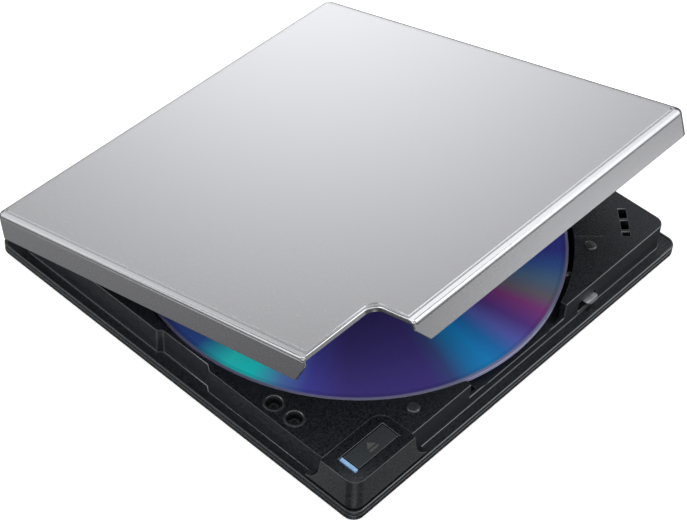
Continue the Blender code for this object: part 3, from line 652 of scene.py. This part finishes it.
def lid_skin():
    """Lid shell with its rolled shoulder, stepped top and rimmed notch."""
    lid = lid_blank()
    rim = prism("notch_rim", notch_outline(RIM_WIDTH), (RIM_Z, LID_UNDER + 0.3))
    inside = shifted(rectangle((-RIM_REACH, -RIM_REACH), (0, 0)))
    keep = prism("rim_keep", inside, (LID_LOW, LID_TOP_Z))
    combine(rim, "INTERSECT", keep)
    combine(lid, "UNION", rim)
    combine(lid, "DIFFERENCE", notch_tool(), *end_cutters())
    weigh_edges(lid, LID_EDGE_Z - NOTCH_ROUND + 0.05)
    lid.data.transform(OPEN_LID)
    set_materials(lid, SILVER)
    finish_edges(lid, 0.25, segments=3, flatness=0.05)
    lid.modifiers["rounded edges"].limit_method = "WEIGHT"
    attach(lid, "lid")
    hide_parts("lid_shell")


# ---------------------------------------------------------------- disc

def turned(name, profile, centre, steps=192):
    """Closed profile of (radius, height) points turned about a vertical line."""
    bm = bmesh.new()
    rings = []
    for step in range(steps):
        turn = 2 * math.pi * step / steps
        rings.append([bm.verts.new(Vector((centre[0] + radius * math.cos(turn),
                                           centre[1] + radius * math.sin(turn), height)) * MM)
                      for radius, height in profile])
    for index in range(steps):
        bridge(bm, rings[index - 1], rings[index])
    return link(name, mesh_of(name, bm))


def disc():
    """Disc with rounded rims and a shallow moulded groove around its clamping area."""
    low, high = (corner.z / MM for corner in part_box("disc"))
    rim = DISC_RIM
    outer = arc((DISC_R - rim, high - rim), rim, 90, 0, 4)
    outer += arc((DISC_R - rim, low + rim), rim, 0, -90, 4)
    inner = arc((HOLE_R + rim, low + rim), rim, 270, 180, 4)
    inner += arc((HOLE_R + rim, high - rim), rim, 180, 90, 4)
    top = [(16.6, high), (16.9, high - 0.08), (17.5, high - 0.08), (17.8, high)]
    made = turned("disc_media", outer + inner + top, (0.0, DISC_Y + SHIFT_Y))
    set_materials(made, DISC)
    finish_edges(made, 0.0)
    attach(made, "spindle")
    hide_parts("disc")


lid_skin()
disc()


# ---------------------------------------------------------------- smaller pieces

def middle(node):
    """Middle of a CAD node's box, with the height of its top."""
    low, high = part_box(node)
    return Vector(((low.x + high.x) / 2, (low.y + high.y) / 2, high.z)) / MM


def dress(obj, mat, body, width=0.05):
    set_materials(obj, mat)
    finish_edges(obj, width)
    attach(obj, body)


def eject_symbol():
    """Low triangle over a bar, in the middle of the button's visible part."""
    x, y, top = middle("open_button")
    x -= BUTTON_LIP / 2
    shapes = {"eject_triangle": [(x - SYMBOL, y - 0.2), (x + SYMBOL, y - 0.2), (x, y + SYMBOL)],
              "eject_bar": rectangle((x - SYMBOL, y - 1.3), (x + SYMBOL, y - 0.7))}
    for name, outline in shapes.items():
        shape = prism(name, outline, (top - 0.05, top + 0.06))
        dress(shape, PRINT, "button", 0.0)


def cross_slot(screw, centre, size, span):
    """Cut a cross recess into a screw's head."""
    x, y = centre
    bars = [prism("slot_bar", rectangle((x - u, y - v), (x + u, y + v)), span)
            for u, v in ((size, size / 4), (size / 4, size))]
    combine(screw, "DIFFERENCE", *bars)


def deck_screws():
    """Pan-head screws in the deck's two recesses, each inside a smooth raised collar."""
    for index in (1, 2):
        node = f"deck_screw_{index}"
        x, y, top = middle(node)
        head = [(CORE, top - 1.2), (1.5, top - 1.2), (1.5, top - 0.35)]
        head += arc((1.1, top - 0.4), 0.4, 0, 90, 4)
        head.append((CORE, top + 0.06))
        screw = turned(f"{node}_fine", head, (x, y), 48)
        cross_slot(screw, (x, y), 0.85, (top - 0.6, top + 1))
        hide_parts(node)
        dress(screw, DARK_STEEL, "base", 0.03)
        rim = DECK_TOP + RECESS_RISE
        inner = RECESS_R
        outer = RECESS_R + 0.62
        collar = turned(f"recess_collar_{index}",
                        [(inner, rim - 1.0), (inner, rim - 0.05), (inner + 0.1, rim + 0.06),
                         (inner + 0.3, rim + 0.1), (inner + 0.5, rim + 0.04),
                         (outer, rim - 0.15), (outer, rim - 1.0)], (x, y), 64)
        # The collar's lighter plastic paints a highlight round its rim
        dress(collar, PAINTED_HIGHLIGHT_PLASTIC, "base", 0.0)


def studs():
    """Domed caps of the two studs along the deck's front."""
    for index, (x, y) in enumerate(STUDS):
        cap = [(CORE, DECK_TOP - 0.2), (STUD_R, DECK_TOP - 0.2), (STUD_R, DECK_TOP + 0.15)]
        cap += arc((STUD_R - 0.3, DECK_TOP + 0.12), 0.3, 20, 90, 4)
        cap.append((CORE, DECK_TOP + 0.5))
        stud = turned(f"stud_cap_{index}", cap, (x, y + SHIFT_Y), 48)
        # The cap's lighter plastic paints a highlight on it
        dress(stud, PAINTED_HIGHLIGHT_PLASTIC, "base", 0.0)


def feet():
    """Rubber discs with rounded rims and a shallow dish underneath."""
    for index in range(1, 5):
        node = f"foot_{index}"
        x, y, top = middle(node)
        radius = (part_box(node)[1].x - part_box(node)[0].x) / 2 / MM
        profile = [(CORE, top), (radius, top), (radius, 0.3)]
        profile += arc((radius - 0.3, 0.3), 0.3, 0, -90, 4)
        profile += [(radius - 1.0, 0.0), (radius - 1.2, 0.12), (CORE, 0.12)]
        foot = turned(f"{node}_fine", profile, (x, y), 64)
        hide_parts(node)
        dress(foot, RUBBER, "base", 0.0)


def turntable():
    """Hub with a ringed crown, three sprung claws and the end of the motor's shaft."""
    centre = (0.0, DISC_Y + SHIFT_Y)
    top = middle("turntable").z
    crown = [(1.0, HUB_LOW), (1.0, top - 0.2), (1.15, top), (3.2, top), (3.35, top - 0.3),
             (4.1, top - 0.3), (4.25, top), (5.3, top), (5.7, top - 0.1),
             (CROWN_R - 0.15, top - 0.75), (CROWN_R, top - 1.0), (CROWN_R, FLANGE_TOP + 0.1),
             (CROWN_R + 0.15, FLANGE_TOP), (FLANGE_R - 0.2, FLANGE_TOP),
             (FLANGE_R, FLANGE_TOP - 0.2), (FLANGE_R, FLANGE_TOP - 0.4),
             (HUB_WALL_R, FLANGE_TOP - 0.4), (HUB_WALL_R, HUB_LOW)]
    hub = turned("turntable_hub", crown, centre, 128)
    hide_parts("turntable")
    dress(hub, HUB, "spindle", 0.0)
    shaft = turned("spindle_shaft", [(CORE, SHAFT_LOW), (SHAFT_R, SHAFT_LOW),
                                     (SHAFT_R, top - 0.25), (0.8, top - 0.1),
                                     (CORE, top - 0.1)], centre, 48)
    dress(shaft, STEEL, "spindle", 0.0)
    for index in range(3):
        turn = Matrix.Rotation(math.radians(120 * index), 2)
        outline = [turn @ corner + Vector(centre)
                   for corner in rounded([(-1.1, 4.6, 0.3), (1.1, 4.6, 0.3), (1.1, 7.85, 0.8),
                                          (-1.1, 7.85, 0.8)], 5)]
        claw = prism(f"hub_claw_{index}", outline, (top - 0.6, top - 0.15))
        dress(claw, HUB, "spindle", 0.12)


def liner_ribs():
    """Clamping rings and stiffening ribs moulded under the lid, over the disc."""
    centre = (0.0, DISC_Y + SHIFT_Y)
    pieces = [turned(f"liner_ring_{index}",
                     [(inner, LINER_IN), (inner, low), (inner + 0.15, low - 0.12),
                      (inner + 0.75, low - 0.12), (inner + 0.9, low),
                      (inner + 0.9, LINER_IN)],
                     centre, 96)
              for index, (inner, low) in enumerate([(10.0, 11.8), (15.5, 12.1), (59.4, 12.1)])]
    for index in range(8):
        turn = Matrix.Rotation(math.radians(45 * index + 22.5), 2)
        outline = [turn @ corner + Vector(centre)
                   for corner in rectangle((RIB_SPAN[0], -0.5), (RIB_SPAN[1], 0.5))]
        pieces.append(prism(f"liner_rib_{index}", outline, (RIB_LOW, LINER_IN)))
    for piece in pieces:
        piece.data.transform(OPEN_LID)
        dress(piece, LINER, "lid", 0.08)


def blank_label():
    """Plain label under the case, with nothing printed on it."""
    label = prism("blank_label", rectangle((-26, -14), (26, 14), 1.5, 6), (0.54, 0.65))
    dress(label, LABEL, "base", 0.0)


eject_symbol()
deck_screws()
studs()
feet()
turntable()
liner_ribs()
blank_label()


# ---------------------------------------------------------------- stage, light and camera

FLOOR_GLOW = 0.5            # keeps the floor white in the photo's view


def stage_floor():
    bm = bmesh.new()
    bmesh.ops.create_grid(bm, x_segments=1, y_segments=1, size=6.0)
    mesh = bpy.data.meshes.new("floor")
    bm.to_mesh(mesh)
    bm.free()
    floor = link("floor", mesh)
    mat, tree, shader = new_material("floor_paper", 0.9, Specular_IOR_Level=0.0)
    tint = ramp(tree, object_noise(tree, 3.0), [(0.3, grey(0.93)), (0.7, grey(0.95))])
    tree.links.new(tint, shader.inputs["Base Color"])
    tree.links.new(tint, shader.inputs["Emission Color"])
    shader.inputs["Emission Strength"].default_value = FLOOR_GLOW
    mesh.materials.append(mat)
    floor.visible_glossy = False


DOME_LOW = 0.06             # level light from below and from above
DOME_HIGH = 0.13
# (direction, sharpness, strength) of the lobes of light added to that
LOBES = [
    ((0.608, 0.778, 0.156), 60.0, 2.2),       # low behind, graded over the lid's top
    ((0.740, 0.621, 0.259), 60.0, 0.5),       # beside it to the right
    ((0.253, 0.945, 0.208), 20.0, 0.25),      # beside it to the left
    ((0.0, 0.0, 1.0), 3.0, 0.05),             # from above
    ((-0.5, -0.5, 0.7), 4.0, 1.4),            # fill from the front left
    ((0.51, -0.36, 0.78), 20.0, 2.3),         # shoulder along the lid's front
    ((0.56, 0.08, 0.82), 40.0, 1.5),          # slope inside that shoulder
    ((0.64, -0.664, -0.386), 300.0, 2.2),     # lid's front skirt, brighter to the right
    ((0.70, -0.62, -0.36), 30.0, 0.25),       # the whole of that skirt
    ((0.55, -0.78, -0.30), 6.0, 0.10),        # the base's front walls
    ((0.51, -0.72, 0.46), 30.0, 2.3),         # the pad's rounded front edge
    ((-0.46, -0.51, -0.72), 40.0, 2.0),       # the pad's upright corner
    ((-0.70, 0.50, -0.45), 120.0, 1.2),       # the pad's left wall
    ((-0.70, 0.46, 0.49), 26.0, 5.0),         # edges along the left
    ((-0.57, 0.76, 0.32), 20.0, 0.9),         # shoulder along the lid's left
    ((-0.16, 0.92, 0.36), 22.0, 0.8),         # slope inside that shoulder
    ((-0.35, 0.70, -0.62), 25.0, 0.25),       # back of the lid's left skirt
]


def studio_dome():
    """Soft light from all round: a level base and the lobes."""
    world = bpy.data.worlds.new("studio")
    bpy.context.scene.world = world
    world.use_nodes = True
    tree = world.node_tree
    background = tree.nodes["Background"]
    direction = add_node(tree, "ShaderNodeTexCoord").outputs["Generated"]
    height = add_node(tree, "ShaderNodeSeparateXYZ", {0: direction}).outputs[2]
    level = ramp(tree, maths(tree, "MULTIPLY_ADD", height, 0.5, 0.5),
                 [(0.0, grey(DOME_LOW)), (0.46, grey(DOME_LOW)), (0.54, grey(DOME_HIGH)),
                  (1.0, grey(DOME_HIGH))])
    total = level
    for axis, sharpness, strength in LOBES:
        turn = add_node(tree, "ShaderNodeVectorMath",
                        {0: direction, 1: Vector(axis).normalized()}, operation="DOT_PRODUCT")
        facing = maths(tree, "MAXIMUM", turn.outputs["Value"], 0.0)
        lobe = maths(tree, "MULTIPLY", maths(tree, "POWER", facing, sharpness), strength)
        total = maths(tree, "ADD", total, lobe)
    tree.links.new(total, background.inputs["Color"])


def softbox(name, direction, distance, size, watts):
    """Square area light facing the middle of the object, with its sizes in metres."""
    light = bpy.data.lights.new(name, "AREA")
    light.size = size
    light.energy = watts
    lamp = link(name, light)
    towards = Vector(direction).normalized()
    lamp.location = towards * distance
    lamp.rotation_euler = towards.to_track_quat("Z", "Y").to_euler()


CAMERA_AZIMUTH = -47.87     # degrees
CAMERA_ELEVATION = 46.19
CAMERA_ROLL = 2.29
CAMERA_DISTANCE = 538.6
CAMERA_AIM = (-14.9, 0.96, 6.0)
CAMERA_LENS = 103.62
CAMERA_SENSOR = 36.0
CAMERA_SHIFT_X = 0.0633


def camera():
    data = bpy.data.cameras.new("camera")
    data.lens = CAMERA_LENS
    data.sensor_width = CAMERA_SENSOR
    data.shift_x = CAMERA_SHIFT_X
    data.clip_start = 0.01
    lens = link("camera", data)
    azimuth = math.radians(CAMERA_AZIMUTH)
    elevation = math.radians(CAMERA_ELEVATION)
    back = Vector((math.sin(azimuth) * math.cos(elevation),
                   -math.cos(azimuth) * math.cos(elevation), math.sin(elevation)))
    right = Vector((math.cos(azimuth), math.sin(azimuth), 0.0))
    up = back.cross(right)
    turn = Matrix((right, up, back)).transposed()
    turn = turn @ Matrix.Rotation(math.radians(CAMERA_ROLL), 3, "Z")
    lens.matrix_world = (Matrix.Translation((Vector(CAMERA_AIM) + back * CAMERA_DISTANCE) * MM)
                         @ turn.to_4x4())
    bpy.context.scene.camera = lens


stage_floor()
studio_dome()
softbox("key", (0.38, 0.32, 0.87), distance=0.8, size=0.35, watts=0.3)
camera()
bpy.context.scene.view_settings.view_transform = "Standard"
